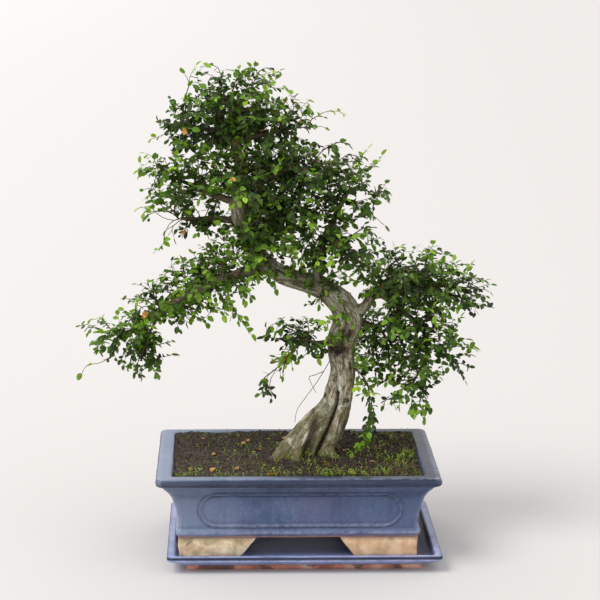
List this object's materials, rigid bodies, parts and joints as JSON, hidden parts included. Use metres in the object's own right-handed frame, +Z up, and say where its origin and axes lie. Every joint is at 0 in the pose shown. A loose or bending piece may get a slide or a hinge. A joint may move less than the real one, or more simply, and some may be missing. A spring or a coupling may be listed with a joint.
{
  "type": "chinese elm bonsai",
  "caption": "Chinese elm bonsai with a bent trunk and leafy pads, in a rectangular glazed pot with corner feet on a shallow drip tray.",
  "frame": {"origin": "on the tray's flat underside, below the middle of the pot", "axes": "+Z up, +X to the viewer's right along the pot's long side, -Y towards the viewer at the front"},
  "size_m": [0.5963, 0.28, 0.6979],
  "materials": {
    "pot_glaze": "gloss",
    "tray_glaze": "gloss",
    "soil": "matte",
    "screen_plastic": "matte",
    "bark": "matte",
    "leaf": "satin"
  },
  "bodies": {
    "root": {"pot": "pot_glaze", "tray": "tray_glaze", "soil": "soil", "drain_screen_left": "screen_plastic", "drain_screen_right": "screen_plastic", "trunk": "bark", "spray_crown_top_1": "leaf", "spray_crown_top_2": "leaf", "spray_crown_left_1": "leaf", "spray_crown_left_2": "leaf", "spray_crown_right_1": "leaf", "spray_crown_right_2": "leaf", "spray_crown_back_1": "leaf", "spray_crown_back_2": "leaf", "spray_upper_left_1": "leaf", "spray_upper_left_2": "leaf", "spray_upper_left_low_1": "leaf", "spray_upper_left_low_2": "leaf", "spray_middle_1": "leaf", "spray_middle_2": "leaf", "spray_middle_right_1": "leaf", "spray_middle_right_2": "leaf", "spray_middle_back_1": "leaf", "spray_middle_back_2": "leaf", "spray_heart_1": "leaf", "spray_heart_2": "leaf", "spray_riser_top_1": "leaf", "spray_riser_top_2": "leaf", "spray_riser_front_1": "leaf", "spray_riser_front_2": "leaf", "spray_centre_low_1": "leaf", "spray_centre_low_2": "leaf", "spray_centre_back_1": "leaf", "spray_centre_back_2": "leaf", "spray_left_near_1": "leaf", "spray_left_near_2": "leaf", "spray_left_middle_1": "leaf", "spray_left_middle_2": "leaf", "spray_left_end_1": "leaf", "spray_left_end_2": "leaf", "spray_left_back_1": "leaf", "spray_left_back_2": "leaf", "spray_left_hang": "leaf", "spray_right_near_1": "leaf", "spray_right_near_2": "leaf", "spray_right_end_1": "leaf", "spray_right_end_2": "leaf", "spray_right_back_1": "leaf", "spray_right_back_2": "leaf", "spray_right_middle_1": "leaf", "spray_right_middle_2": "leaf", "spray_right_droop_1": "leaf", "spray_right_droop_2": "leaf", "spray_right_low_1": "leaf", "spray_right_low_2": "leaf", "spray_right_tip": "leaf", "spray_low_left": "leaf", "spray_low_twig": "leaf", "spray_hanging": "leaf"}
  },
  "joints": []
}
